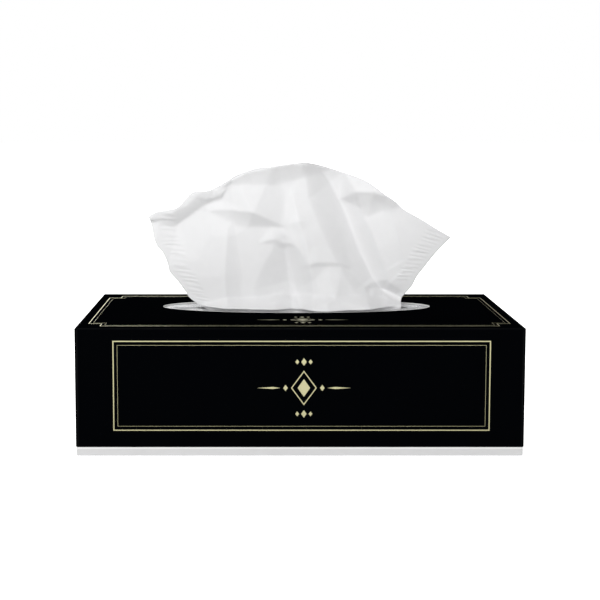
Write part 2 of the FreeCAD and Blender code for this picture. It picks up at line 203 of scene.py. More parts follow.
def offset_loop(loop, distance):
    """The corners of a closed outline moved inwards, with mitred corners."""
    moved = []
    for i, corner in enumerate(loop):
        before, after = loop[i - 1], loop[(i + 1) % len(loop)]
        a = (Vector(corner) - Vector(before)).normalized()
        b = (Vector(after) - Vector(corner)).normalized()
        inward_a, inward_b = Vector((-a.y, a.x)), Vector((-b.y, b.x))
        bisector = (inward_a + inward_b).normalized()
        moved.append(Vector(corner) + bisector * distance / bisector.dot(inward_a))
    return moved


def rectangle(left, low, right, high):
    return [(left, low), (right, low), (right, high), (left, high)]


def notched(left, low, right, high, notch):
    """A rectangle whose corners are stepped in, as on a ticket."""
    return [
        (left + notch, low), (right - notch, low), (right - notch, low + notch),
        (right, low + notch), (right, high - notch), (right - notch, high - notch),
        (right - notch, high), (left + notch, high), (left + notch, high - notch),
        (left, high - notch), (left, low + notch), (left + notch, low + notch),
    ]


def add_prism(mesh, outline, inner, to_face):
    """Foil between two outlines, or inside one, that to_face(x, y, lift) lays on the carton."""
    count = len(outline)
    levels = (-0.5 * FOIL, FOIL)
    rings = []
    for loop in (outline, inner) if inner else (outline,):
        for lift in levels:
            rings.append([mesh.verts.new(to_face(point[0], point[1], lift)) for point in loop])
    if inner:
        out_low, out_high, in_low, in_high = rings
        sides = ((out_low, out_high), (out_high, in_high), (in_high, in_low), (in_low, out_low))
    else:
        out_low, out_high = rings
        sides = ((out_low, out_high),)
        mesh.faces.new(out_high)
        mesh.faces.new(list(reversed(out_low)))
    for first, second in sides:
        for i in range(count):
            j = (i + 1) % count
            mesh.faces.new((first[i], first[j], second[j], second[i]))


def double_line(mesh, loop, to_face, fineness=1.0):
    """A line along the outline, and a finer one inside it."""
    add_prism(mesh, loop, offset_loop(loop, OUTER_LINE * fineness), to_face)
    inner = offset_loop(loop, LINE_STEP + OUTER_LINE / 2)
    add_prism(mesh, inner, offset_loop(inner, INNER_LINE * fineness), to_face)


def ornament(mesh, to_face, squash=1.0):
    """A lozenge in an open lozenge, with tapered rules and small lozenges to both sides."""
    def lozenge(x, y, width, height):
        return [(x - width, y), (x, y - height * squash), (x + width, y), (x, y + height * squash)]

    add_prism(mesh, lozenge(0, 0, 3.2 * MM, 4.6 * MM), None, to_face)
    ring = lozenge(0, 0, 6.6 * MM, 9.0 * MM)
    add_prism(mesh, ring, offset_loop(ring, 0.5 * MM), to_face)
    for way in (-1, 1):
        add_prism(mesh, lozenge(way * 9.4 * MM, 0, 1.2 * MM, 1.6 * MM), None, to_face)
        rule = [(way * 12 * MM, 0), (way * 16 * MM, -0.55 * MM * squash),
                (way * 24 * MM, 0), (way * 16 * MM, 0.55 * MM * squash)]
        add_prism(mesh, rule if way > 0 else rule[::-1], None, to_face)
        for level in (-13.5, 13.5):
            y = level * MM * squash
            add_prism(mesh, lozenge(way * 3.4 * MM, y, 1.0 * MM, 1.3 * MM), None, to_face)
    for level in (-13.5, 13.5):
        add_prism(mesh, lozenge(0, level * MM * squash, 1.4 * MM, 2.0 * MM), None, to_face)


def finish_mesh(mesh, name, material, smooth=False):
    """Turns a bmesh into an object that rides on the carton."""
    bmesh.ops.recalc_face_normals(mesh, faces=mesh.faces)
    data = bpy.data.meshes.new(name)
    mesh.to_mesh(data)
    mesh.free()
    return finish_piece(data, name, material, smooth)


def finish_piece(data, name, material, smooth):
    """Links a mesh as one piece of the carton, with its material and slot."""
    data.materials.append(material)
    data.polygons.foreach_set("use_smooth", [smooth] * len(data.polygons))
    piece = bpy.data.objects.new(name, data)
    bpy.context.scene.collection.objects.link(piece)
    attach(piece, "root")
    return piece


def make_foil():
    """Pale gold foil, a little uneven in its gloss."""
    material, tree, shader = new_material("gold_foil")
    place = add_node(tree, "ShaderNodeTexCoord").outputs["Object"]
    mottle, fibres = add_fibres(tree, place, 3 * MM, 0.4 * MM)
    shade = mix_colour(tree, mottle, tuple(0.94 * c for c in FOIL_COLOUR), FOIL_COLOUR)
    tree.links.new(shade, shader.inputs["Base Color"])
    roughness = add_node(tree, "ShaderNodeMapRange", {0: fibres, 3: 0.3, 4: 0.5}).outputs[0]
    tree.links.new(roughness, shader.inputs["Roughness"])
    shader.inputs["Metallic"].default_value = 0.85
    return material


gold_foil = make_foil()

front = bmesh.new()
back = bmesh.new()
wall_frame = rectangle(-HALF_LENGTH + FRONT_SIDE_MARGIN, BARE_FOOT + FRONT_FOOT_MARGIN,
                       HALF_LENGTH - FRONT_SIDE_MARGIN, HEIGHT - FRONT_TOP_MARGIN)
double_line(front, wall_frame, lambda x, y, lift: (x + PRINT_SHIFT, -HALF_DEPTH - lift, y))
double_line(back, wall_frame, lambda x, y, lift: (-x, HALF_DEPTH + lift, y))
wall_middle = BARE_FOOT + (HEIGHT - BARE_FOOT) / 2
ornament(front, lambda x, y, lift: (x + ORNAMENT_X, -HALF_DEPTH - lift, y + wall_middle))
ornament(back, lambda x, y, lift: (-x, HALF_DEPTH + lift, y + wall_middle))
finish_mesh(front, "foil_front", gold_foil)
finish_mesh(back, "foil_back", gold_foil)

ends = bmesh.new()
end_frame = rectangle(-HALF_DEPTH + END_SIDE_MARGIN, BARE_FOOT + FRONT_FOOT_MARGIN,
                      HALF_DEPTH - END_SIDE_MARGIN, HEIGHT - FRONT_TOP_MARGIN)
double_line(ends, end_frame, lambda x, y, lift: (HALF_LENGTH + lift, x, y))
double_line(ends, end_frame, lambda x, y, lift: (-HALF_LENGTH - lift, -x, y))
finish_mesh(ends, "foil_ends", gold_foil)

top = bmesh.new()
top_frame = notched(-HALF_LENGTH + TOP_SIDE, -HALF_DEPTH + TOP_FRONT,
                    HALF_LENGTH - TOP_SIDE, HALF_DEPTH - TOP_BACK, NOTCH)
double_line(top, top_frame, lambda x, y, lift: (x, y, HEIGHT + lift), TOP_FINENESS)
ornament(top, lambda x, y, lift: (x + ORNAMENT_X, y + ORNAMENT_TOP_Y, HEIGHT + lift),
         ORNAMENT_TOP_SQUASH)
finish_mesh(top, "foil_top", gold_foil)


# Torn rim: the tear-out piece of the mouth was held by a perforation, and where it tore, a ragged
# line of the board's pale fibres stands up all the way round the cut edge.
RIM_STRIP, RIM_ABOVE, RIM_SIDES = 0.32 * MM, 0.1 * MM, 600
TUFT_SPACING, TUFT_HEIGHT, TUFT_WIDTH = 0.55 * MM, 0.34 * MM, 0.16 * MM
TUFT_TILT, TUFT_TURN = 0.6, 1.5  # radians to either side
TUFT_SMALLEST, TUFT_LARGEST = (0.7, 0.7, 0.3), (1.8, 1.8, 1.3)
FIBRE_DARK, FIBRE_LIGHT = (0.45, 0.45, 0.44), (0.8, 0.8, 0.79)


def new_geometry_tree(name, inputs):
    """A Geometry Nodes tree with named inputs and one geometry output."""
    tree = bpy.data.node_groups.new(name, "GeometryNodeTree")
    for label, kind, value in inputs:
        socket = tree.interface.new_socket(name=label, in_out="INPUT", socket_type=kind)
        if value is not None:
            socket.default_value = value
    tree.interface.new_socket(name="Geometry", in_out="OUTPUT", socket_type="NodeSocketGeometry")
    given = tree.nodes.new("NodeGroupInput")
    return tree, given.outputs


def add_geometry_node(tree, kind, inputs=(), **settings):
    """A geometry node whose inputs are given by their names."""
    node = tree.nodes.new(kind)
    for name, value in settings.items():
        setattr(node, name, value)
    for name, value in dict(inputs).items():
        sockets = [socket for socket in node.inputs if socket.name == name and socket.enabled]
        if isinstance(value, bpy.types.NodeSocket):
            tree.links.new(value, sockets[0])
        else:
            sockets[0].default_value = value
    return node


def end_geometry_tree(tree, geometry, material):
    """Realizes the instances, gives them their material and puts them out."""
    real = add_geometry_node(tree, "GeometryNodeRealizeInstances", {"Geometry": geometry})
    dressed = add_geometry_node(tree, "GeometryNodeSetMaterial",
                                {"Geometry": real.outputs[0], "Material": material})
    out = tree.nodes.new("NodeGroupOutput")
    tree.links.new(dressed.outputs[0], out.inputs["Geometry"])


def grow_piece(tree, name, values, smooth):
    """Runs a tree with the given values and keeps its result as a plain mesh."""
    piece = bpy.data.objects.new(name, bpy.data.meshes.new(name))
    bpy.context.scene.collection.objects.link(piece)
    modifier = piece.modifiers.new(name, "NODES")
    modifier.node_group = tree
    sockets = {item.name: item.identifier for item in tree.interface.items_tree
               if item.in_out == "INPUT"}
    for label, value in values.items():
        modifier[sockets[label]] = value
    evaluated = piece.evaluated_get(bpy.context.evaluated_depsgraph_get())
    data = bpy.data.meshes.new_from_object(evaluated)
    piece.modifiers.remove(modifier)
    piece.data = data
    piece.data.name = name
    data.polygons.foreach_set("use_smooth", [smooth] * len(data.polygons))
    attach(piece, "root")
    return piece


def make_rim_tree():
    """A narrow raised strip along an oval, with a small ragged tuft every so often."""
    tree, given = new_geometry_tree("torn_rim", (
        ("Half Length", "NodeSocketFloat", 0.1), ("Half Width", "NodeSocketFloat", 0.1),
        ("Place Along Y", "NodeSocketFloat", 0.0), ("Height", "NodeSocketFloat", 0.0),
        ("Strip", "NodeSocketFloat", 0.001), ("Tuft Spacing", "NodeSocketFloat", 0.001),
        ("Tuft Height", "NodeSocketFloat", 0.001), ("Tuft Width", "NodeSocketFloat", 0.001),
        ("Seed", "NodeSocketInt", 0), ("Material", "NodeSocketMaterial", None)))
    circle = add_geometry_node(tree, "GeometryNodeCurvePrimitiveCircle",
                               {"Resolution": RIM_SIDES, "Radius": 1.0})
    oval = add_geometry_node(tree, "ShaderNodeCombineXYZ",
                             {"X": given["Half Length"], "Y": given["Half Width"], "Z": 1.0})
    place = add_geometry_node(tree, "ShaderNodeCombineXYZ",
                              {"Y": given["Place Along Y"], "Z": given["Height"]})
    path = add_geometry_node(tree, "GeometryNodeTransform",
                             {"Geometry": circle.outputs[0], "Translation": place.outputs[0],
                              "Scale": oval.outputs[0]})
    profile = add_geometry_node(tree, "GeometryNodeCurvePrimitiveQuadrilateral",
                                {"Width": given["Strip"], "Height": given["Strip"]})
    strip = add_geometry_node(tree, "GeometryNodeCurveToMesh",
                              {"Curve": path.outputs[0], "Profile Curve": profile.outputs[0]})
    points = add_geometry_node(tree, "GeometryNodeCurveToPoints",
                               {"Curve": path.outputs[0], "Length": given["Tuft Spacing"]},
                               mode="LENGTH")
    tuft = add_geometry_node(tree, "GeometryNodeMeshCone",
                             {"Vertices": 4, "Radius Top": 0.0,
                              "Radius Bottom": given["Tuft Width"], "Depth": given["Tuft Height"]})
    tilt = add_geometry_node(tree, "FunctionNodeRandomValue",
                             {"Min": (-TUFT_TILT, -TUFT_TILT, -TUFT_TURN),
                              "Max": (TUFT_TILT, TUFT_TILT, TUFT_TURN), "Seed": given["Seed"]},
                             data_type="FLOAT_VECTOR")
    size = add_geometry_node(tree, "FunctionNodeRandomValue",
                             {"Min": TUFT_SMALLEST, "Max": TUFT_LARGEST, "Seed": given["Seed"]},
                             data_type="FLOAT_VECTOR")
    tufts = add_geometry_node(tree, "GeometryNodeInstanceOnPoints",
                              {"Points": points.outputs[0], "Instance": tuft.outputs[0],
                               "Rotation": tilt.outputs[0], "Scale": size.outputs[0]})
    both = tree.nodes.new("GeometryNodeJoinGeometry")
    tree.links.new(strip.outputs[0], both.inputs[0])
    tree.links.new(tufts.outputs[0], both.inputs[0])
    end_geometry_tree(tree, both.outputs[0], given["Material"])
    return tree


def make_torn_board():
    """Pale torn fibres of the board."""
    material, tree, shader = new_material("torn_board")
    place = add_node(tree, "ShaderNodeTexCoord").outputs["Object"]
    mottle, fibres = add_fibres(tree, place, 2 * MM, 0.3 * MM)
    tree.links.new(mix_colour(tree, fibres, FIBRE_DARK, FIBRE_LIGHT), shader.inputs["Base Color"])
    shader.inputs["Roughness"].default_value = 0.9
    return material


grow_piece(make_rim_tree(), "torn_rim", {
    "Half Length": MOUTH_HALF_LENGTH + RIM_STRIP / 2,
    "Half Width": MOUTH_HALF_WIDTH + RIM_STRIP / 2,
    "Place Along Y": MOUTH_BACK, "Height": HEIGHT + RIM_ABOVE - RIM_STRIP / 2, "Strip": RIM_STRIP,
    "Tuft Spacing": TUFT_SPACING, "Tuft Height": TUFT_HEIGHT, "Tuft Width": TUFT_WIDTH, "Seed": 7,
    "Material": make_torn_board()}, False)


# Film window: clear plastic film glued under the top panel all round the mouth, a little slack.
# Its slit is held open by the drawn tissue, which lifts the back lip and lies on the front one.
FILM_LOW, FILM_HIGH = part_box("film_window")
FILM_HALF_X, FILM_HALF_Y = FILM_HIGH.x, (FILM_HIGH.y - FILM_LOW.y) / 2
FILM_THICKNESS = 0.06 * MM
FILM_LEVEL = FILM_HIGH.z - FILM_THICKNESS
SLIT_RIGHT, SLIT_LEFT, SLIT_HALF_WIDTH = 63 * MM, 57 * MM, 4.6 * MM
SLACK, LIP_LIFT, LIP_PRESSED, WRINKLE = 1.4 * MM, 0.5 * MM, 2.6 * MM, 0.18 * MM
FILM_STEPS, FREE_RINGS = 240, 14
FILM_COLOUR = (0.66, 0.67, 0.68, 1.0)
STREAK_STRETCH, STREAK_SCALE = 0.06, 900.0


def film_point(angle, share):
    """share runs from 0 at the slit over 1 at the mouth's edge to 2 at the film's edge."""
    c, s = math.cos(angle), math.sin(angle)
    slit = ((SLIT_RIGHT if c > 0 else SLIT_LEFT) * c, SLIT_HALF_WIDTH * s * abs(s) ** 1.5)
    mouth = (MOUTH_HALF_LENGTH * c, MOUTH_HALF_WIDTH * s)
    corner = max(abs(c), abs(s))
    border = (FILM_HALF_X * c / corner, FILM_HALF_Y * s / corner)
    if share > 1.0:
        x, y = (m + (b - m) * (share - 1.0) for m, b in zip(mouth, border))
        return x, y + MOUTH_BACK, FILM_LEVEL
    x, y = (a + (m - a) * share for a, m in zip(slit, mouth))
    sag = math.sin(math.pi * share) ** 2 * SLACK * abs(s) ** 0.5
    lift = (1 - share) ** 3 * LIP_LIFT * s if s > 0 else (1 - share) ** 1.5 * LIP_PRESSED * s
    ripple = math.sin(math.pi * share) * WRINKLE * (
        math.sin(9 * angle + 2.0 * share) + 0.6 * math.sin(17 * angle - 3.0 * share))
    return x, y + MOUTH_BACK, FILM_LEVEL - sag + lift + ripple


film = bmesh.new()
shares = [k / FREE_RINGS for k in range(FREE_RINGS + 1)] + [2.0]
film_rings = [[film.verts.new(film_point(2 * math.pi * i / FILM_STEPS, share))
               for i in range(FILM_STEPS)] for share in shares]
for inner_ring, outer_ring in zip(film_rings, film_rings[1:]):
    for i in range(FILM_STEPS):
        j = (i + 1) % FILM_STEPS
        film.faces.new((inner_ring[i], outer_ring[i], outer_ring[j], inner_ring[j]))


def make_film():
    """Clear film, faintly milky, with fine drawn streaks along the carton."""
    material, tree, shader = new_material("clear_film")
    place = add_node(tree, "ShaderNodeTexCoord").outputs["Object"]
    turned = add_node(tree, "ShaderNodeMapping", {0: place, 3: (STREAK_STRETCH, 1.0, 1.0)})
    streaks = add_node(tree, "ShaderNodeTexNoise", {0: turned.outputs[0], 2: STREAK_SCALE})
    alpha = add_node(tree, "ShaderNodeMapRange", {0: streaks.outputs[0], 3: 0.34, 4: 0.44})
    roughness = add_node(tree, "ShaderNodeMapRange", {0: streaks.outputs[0], 3: 0.2, 4: 0.3})
    tree.links.new(alpha.outputs[0], shader.inputs["Alpha"])
    tree.links.new(roughness.outputs[0], shader.inputs["Roughness"])
    shader.inputs["Base Color"].default_value = FILM_COLOUR
    return material


film_window = finish_mesh(film, "film", make_film(), True)
thicken = film_window.modifiers.new("film_thickness", "SOLIDIFY")
thicken.thickness = FILM_THICKNESS
thicken.offset = 0.0
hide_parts("film_window")


# Pack: the interfolded tissues that are still in the carton, pressed into a soft block. Each layer
# is one folded sheet, and no two end quite at the same place.
PACK_LOW, PACK_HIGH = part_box("tissue_pack")
LAYERS_LEFT = 95
LAYER_OVERLAP = 1.25  # a layer is this much thicker than its share of the block
LAYER_SHIFT = 0.35 * MM  # and lies this far out of place at most, to each side
TISSUE_WHITE = (0.65, 0.65, 0.655)
TISSUE_SHADE = (0.62, 0.62, 0.625)
PAINTED_GLOW = 0.03  # a faint painted glow from the tissue itself, in place of the light that comes through the thin plies
CREPE_STRETCH, CREPE_SCALE = 0.15, 2200.0


def make_tissue():
    """Soft two-ply tissue: matt, faintly mottled, finely creped, with a faint painted glow."""
    material, tree, shader = new_material("tissue")
    place = add_node(tree, "ShaderNodeTexCoord").outputs["Object"]
    mottle, fibres = add_fibres(tree, place, 5 * MM, 0.3 * MM)
    shade = mix_colour(tree, mottle, TISSUE_SHADE, TISSUE_WHITE)
    tree.links.new(shade, shader.inputs["Base Color"])
    turned = add_node(tree, "ShaderNodeMapping", {0: place, 3: (CREPE_STRETCH, 1.0, 1.0)})
    crepe = add_node(tree, "ShaderNodeTexNoise", {0: turned.outputs[0], 2: CREPE_SCALE})
    relief = math_node(tree, "ADD", crepe.outputs[0], fibres)
    bump = add_node(tree, "ShaderNodeBump", {0: 0.25, 1: 0.05 * MM})
    tree.links.new(relief, bump.inputs["Height"])
    tree.links.new(bump.outputs[0], shader.inputs["Normal"])
    shader.inputs["Roughness"].default_value = 0.95
    shader.inputs["Specular IOR Level"].default_value = 0.1
    # painted glow: the tissue emits a little white light of its own, in place of light through the
    # plies
    shader.inputs["Emission Color"].default_value = (1.0, 1.0, 1.0, 1.0)
    shader.inputs["Emission Strength"].default_value = PAINTED_GLOW
    return material


def make_pack_tree():
    """Rounded layers stacked up, each a little out of place."""
    tree, given = new_geometry_tree("tissue_layers", (
        ("Size", "NodeSocketVector", (0.2, 0.1, 0.001)), ("Bottom", "NodeSocketFloat", 0.0),
        ("Layers", "NodeSocketInt", 10), ("Layer", "NodeSocketFloat", 0.001),
        ("Shift", "NodeSocketFloat", 0.0), ("Seed", "NodeSocketInt", 0),
        ("Material", "NodeSocketMaterial", None)))
    step = add_geometry_node(tree, "ShaderNodeCombineXYZ", {"Z": given["Layer"]})
    lowest = add_node(tree, "ShaderNodeMath", {0: given["Layer"], 1: 0.5, 2: given["Bottom"]},
                      operation="MULTIPLY_ADD")
    start = add_geometry_node(tree, "ShaderNodeCombineXYZ", {"Z": lowest.outputs[0]})
    line = add_geometry_node(tree, "GeometryNodeMeshLine",
                             {"Count": given["Layers"], "Start Location": start.outputs[0],
                              "Offset": step.outputs[0]})
    slab = add_geometry_node(tree, "GeometryNodeMeshCube",
                             {"Size": given["Size"], "Vertices X": 13, "Vertices Y": 7,
                              "Vertices Z": 2})
    rounded = add_geometry_node(tree, "GeometryNodeSubdivisionSurface",
                                {"Mesh": slab.outputs[0], "Level": 1})
    low, high = (add_node(tree, "ShaderNodeVectorMath", {0: (way, way, 0), 3: given["Shift"]},
                          operation="SCALE") for way in (-1, 1))
    shift = add_geometry_node(tree, "FunctionNodeRandomValue",
                              {"Min": low.outputs[0], "Max": high.outputs[0],
                               "Seed": given["Seed"]}, data_type="FLOAT_VECTOR")
    moved = add_geometry_node(tree, "GeometryNodeSetPosition",
                              {"Geometry": line.outputs[0], "Offset": shift.outputs[0]})
    stack = add_geometry_node(tree, "GeometryNodeInstanceOnPoints",
                              {"Points": moved.outputs[0], "Instance": rounded.outputs[0]})
    end_geometry_tree(tree, stack.outputs[0], given["Material"])
    return tree


tissue = make_tissue()
layer = (PACK_HIGH.z - PACK_LOW.z) / LAYERS_LEFT
layer_size = Vector((PACK_HIGH.x - PACK_LOW.x, PACK_HIGH.y - PACK_LOW.y, LAYER_OVERLAP * layer))
layer_size -= Vector((2 * LAYER_SHIFT, 2 * LAYER_SHIFT, 0))
tissue_pack = grow_piece(make_pack_tree(), "tissue_layers", {
    "Size": layer_size, "Bottom": PACK_LOW.z, "Layers": LAYERS_LEFT, "Layer": layer,
    "Shift": LAYER_SHIFT, "Seed": 3, "Material": tissue}, True)
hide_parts("tissue_pack")


# Drawn tissue: one square two-ply sheet. Its leading half stands fanned out above the slit, soft
# and creased, and its other half is still folded on the pack. Both side edges carry a narrow
# embossed band that holds the plies together.
SHEET_SIDE = 200 * MM
PLY = 0.16 * MM  # how thick the two plies are together
COLUMNS, FAN_ROWS, BEND_ROWS = 220, 120, 60
# The standing half as seen from the front, in mm from the mouth's middle and above the top panel.
FREE_EDGE = [
    (-83.6, 50.7), (-78.5, 53.5), (-68.9, 55.2), (-64.9, 58.1), (-60.4, 63.2), (-57.0, 64.9),
    (-50.2, 65.4), (-44.6, 67.7), (-38.9, 71.1), (-33.2, 74.5), (-23.6, 77.9), (-15.2, 79.0),
    (-3.8, 80.7), (4.6, 81.3), (13.1, 79.6), (22.7, 76.7), (34.6, 72.8), (41.4, 69.4),
    (48.2, 64.3), (55.5, 59.2), (60.6, 54.7), (69.7, 49.6), (78.7, 43.9), (88.4, 38.4),
]
LEFT_EDGE = [
    (-49.0, -2.5), (-55.9, 1.5), (-60.4, 4.9), (-62.7, 8.3), (-67.2, 14.5), (-71.7, 19.6),
    (-72.8, 24.1), (-75.7, 30.4), (-79.0, 34.3), (-80.7, 38.8), (-81.9, 45.1), (-83.6, 50.7),
]
RIGHT_EDGE = [
    (59.0, -2.5), (60.1, 3.8), (62.3, 7.2), (65.7, 11.7), (68.0, 16.2), (72.5, 21.9),
    (79.3, 29.8), (88.4, 38.4),
]
# Creases, in mm too: the line as (x, up, how far it stands to the front or back), and how far its
# two flanks reach where it is highest: above and below a line that runs to the right, or left and
# right of a line that runs up.
CREASES = [
    ([(-48, 54.2, 1.2), (-36, 55.2, 5.8), (-24, 53.4, 5.6), (-17, 50.2, 3.6), (-9, 46.3, 1.0)],
     34.0, 9.5),
    ([(-40, 70, 1.5), (-28, 76.5, 4.5), (-15, 79, 6.0), (-2, 81, 5.5), (8, 80.5, 3.8),
      (17, 78.3, 1.2)], 3.0, 11.0),
    ([(-78, 47.5, -2.5), (-68, 45.5, -5.5), (-58, 53, -3.5), (-50, 58, -5.0), (-42, 60, -5.0),
      (-38, 69, -1.5)], 9.0, 19.0),
    ([(-39, 2, 2.2), (-40.5, 17, 2.8), (-38.5, 45, 1.0)], 24.0, 10.0),
    ([(2, 0, -8.0), (-3, 13.6, -7.0), (-5, 25, -4.8), (-7, 35.5, -2.0)], 25.0, 12.0),
    ([(-20, 36.2, 0.4), (-13, 38.6, 1.6), (-7, 36.0, 1.6)], 7.0, 3.5),
    ([(9, 0, 3.5), (8.5, 21, 4.0), (5, 38, 4.0), (1, 51, 3.0), (-2, 62, 1.2)], 14.0, 22.0),
    ([(60, -1, -4.5), (48, 9, -6.5), (43, 16, -8.0), (35.5, 33, -9.5), (28, 52, -10.5),
      (19, 70, -9.5), (12, 79, -6.0)], 17.0, 22.0),
    ([(54, 12, 2.0), (46, 33, 3.6), (40, 47, 3.8), (32, 60, 2.0)], 12.0, 16.0),
    ([(25.4, 60.7, 0.8), (33, 65.3, 6.5), (43, 65.0, 8.5), (51, 62.5, 5.0)], 17.0, 16.0),
    ([(5, 23, 0.4), (12, 25.5, 1.5), (24, 24.5, 1.0), (30, 22, 0.4)], 10.0, 3.0),
    ([(44, 6.5, 1.2), (52, 4, 2.2), (60, 0, 1.6)], 4.0, 4.0),
    ([(43, 10, -1.5), (50, 8.5, -3.5), (57, 6, -2.0)], 6.5, 4.0),
    ([(-17, 2.4, 0.8), (-8, 4.6, 2.4), (0, 2.2, 1.2)], 3.5, 4.5),
    ([(-4, 47, 0.3), (0, 48.5, 1.2), (4, 49, 0.6)], 4.0, 9.0),
    ([(-57, 63.6, 0.3), (-51, 60.2, 1.3), (-43.5, 62.6, 1.2), (-38.5, 67.5, 0.4)], 6.0, 2.2),
    ([(8, 1, 4.0), (22, 5, 7.0), (40, 1, 3.0)], 19.0, 14.0),
    ([(-50, -1, 5.5), (-39, -1.1, 9.5), (-27, -1.2, 9.0), (-12, -1.4, 12.5), (-2, -1.4, 10.5),
      (9, -1.4, 14.0), (24, -1.3, 11.0), (40, -1.2, 12.0), (60, -1, 4.5)], 9.0, 7.0),
]
CREST = 1.25  # how fast a flank falls off beside its crease
SOFTEN = 3  # passes that round the creases
VALLEY_ROUND = 4.0  # how softly a valley turns into its right or lower flank, in mm
CORNERS, CORNER_CURVE = (-60, 48), 0.006  # beyond these places the free corners bend back
DRAPE = 17.5  # the folds lean no further over the film than this, in mm
EMBOSS_PITCH, EMBOSS_RELIEF, EMBOSS_SLANT = 4.8 * MM, 0.2 * MM, 0.35
EMBOSS_IN, EMBOSS_HALF = 9.5 * MM, 4.5 * MM  # the band's middle and half its width
EMBOSS_FROM, EMBOSS_FADE = (0.0, 12.0), 6.0  # the left and right strokes fade in above, in mm
IN_SLIT = 2.6 * MM  # the folds reach this far from the middle of the slit
GATHERS = ((0.25, 31, 1.5, 9), (0.2, 57, 2, 14))  # how deep, how many, and how uneven
FILM_DOWN = 0.5  # how far the film is below the top panel's face, in mm
LIP_GAP, OPENING = 0.9, 1.6  # how far above its lip the sheet starts to open, and over what height
LAYER_GAP = 1.2 * MM  # between the two layers of the half that is still folded


def along_curve(points, count):
    """Evenly spaced places on the smooth curve through the points."""
    points = np.array(points, float)
    padded = np.vstack([2 * points[0] - points[1], points, 2 * points[-1] - points[-2]])
    fine = []
    for i in range(1, len(padded) - 2):
        f = np.linspace(0, 1, 24, endpoint=False)[:, None]
        a, b, c, d = padded[i - 1:i + 3]
        fine.append(0.5 * (2 * b + (c - a) * f + (2 * a - 5 * b + 4 * c - d) * f ** 2
                           + (3 * b - a - 3 * c + d) * f ** 3))
    fine = np.vstack(fine + [points[-1:]])
    steps = np.concatenate([[0], np.cumsum(np.hypot(*np.diff(fine, axis=0).T))])
    places = np.linspace(0, steps[-1], count)
    return np.stack([np.interp(places, steps, fine[:, k]) for k in (0, 1)], axis=1)


def crease_depth(x, up, line, left_reach, right_reach):
    """How far one crease, with its two flanks, stands out of the sheet."""
    highest = max(abs(height) for _, _, height in line)
    nearest = np.full(x.shape, 1e9)
    side, height = np.zeros(x.shape), np.zeros(x.shape)
    for (ax, ay, a_height), (bx, by, b_height) in zip(line, line[1:]):
        dx, dy = bx - ax, by - ay
        share = np.clip(((x - ax) * dx + (up - ay) * dy) / (dx * dx + dy * dy), 0, 1)
        gap_x, gap_y = x - ax - share * dx, up - ay - share * dy
        away = np.hypot(gap_x, gap_y)
        closer = away < nearest
        nearest = np.where(closer, away, nearest)
        side = np.where(closer, dx * gap_y - dy * gap_x, side)
        height = np.where(closer, a_height + (b_height - a_height) * share, height)
    reach = np.where(side > 0, left_reach, right_reach) * np.abs(height) / highest
    lit_flank = (side <= 0) & (height < 0)
    nearest = np.where(lit_flank, np.hypot(nearest, VALLEY_ROUND) - VALLEY_ROUND, nearest)
    return height * np.clip(1 - nearest / reach, 0, 1) ** CREST


def soften(field, passes):
    """Each place moved towards the mean of its four neighbours."""
    for _ in range(passes):
        edged = np.pad(field, 1, mode="edge")
        field = (edged[1:-1, 1:-1] * 4 + edged[:-2, 1:-1] + edged[2:, 1:-1]
                 + edged[1:-1, :-2] + edged[1:-1, 2:]) / 8
    return field


def smooth_share(value):
    """0 to 1 with soft ends."""
    value = np.clip(value, 0, 1)
    return value * value * (3 - 2 * value)


u, v = np.meshgrid(np.linspace(0, 1, COLUMNS + 1), np.linspace(0, 1, FAN_ROWS + 1))
top_line = along_curve(FREE_EDGE, COLUMNS + 1)[None, :, :]
left_line = along_curve(LEFT_EDGE, FAN_ROWS + 1)[:, None, :]
right_line = along_curve(RIGHT_EDGE, FAN_ROWS + 1)[:, None, :]
first_corner, last_corner = np.array(FREE_EDGE[0]), np.array(FREE_EDGE[-1])
corners_between = (1 - u)[..., None] * first_corner + u[..., None] * last_corner
plan = (1 - u)[..., None] * left_line + u[..., None] * right_line
plan = plan + v[..., None] * (top_line - corners_between)
x, up = plan[..., 0], plan[..., 1]
front_depth = sum(crease_depth(x, up, *crease) for crease in CREASES)
for beyond in (x - CORNERS[1], CORNERS[0] - x):
    front_depth = front_depth - CORNER_CURVE * np.clip(beyond, 0, None) ** 2
front_depth = soften(np.minimum(front_depth, DRAPE), SOFTEN)
slit_share = np.clip(1 - (x * MM / np.where(x > 0, SLIT_RIGHT, SLIT_LEFT)) ** 2, 0.02, 1)
lip_level = -FILM_DOWN - LIP_PRESSED / MM * np.sqrt(slit_share)
opened = smooth_share((up - lip_level - LIP_GAP) / OPENING)
in_slit = IN_SLIT / MM * slit_share ** 1.25
gathered = in_slit * sum((deep * np.sin(many * u + uneven * np.sin(slow * u))
                          for deep, many, uneven, slow in GATHERS), 0.3)
front_depth = opened * front_depth + (1 - opened) * np.clip(gathered, -in_slit, in_slit)
from_edge = np.minimum(u, 1 - u) * SHEET_SIDE
band = smooth_share(1.6 - np.abs(from_edge - EMBOSS_IN) / EMBOSS_HALF)
band = band * smooth_share((up - np.where(u > 0.5, EMBOSS_FROM[1], EMBOSS_FROM[0])) / EMBOSS_FADE)
hand = np.random.default_rng(11)
wobble = np.interp(v, np.linspace(0, 1, 40), hand.normal(0, 1.3, 40))
strength = np.interp(v, np.linspace(0, 1, 60), hand.uniform(0.2, 1.5, 60))
slant = from_edge / EMBOSS_PITCH * EMBOSS_SLANT
waves = strength * np.sin(2 * math.pi * (v * SHEET_SIDE / 2 / EMBOSS_PITCH + slant) + wobble)
front_depth = front_depth + EMBOSS_RELIEF / MM * band * waves * opened
fan = np.stack([x * MM, MOUTH_BACK - front_depth * MM, HEIGHT + up * MM], axis=-1)[::-1]

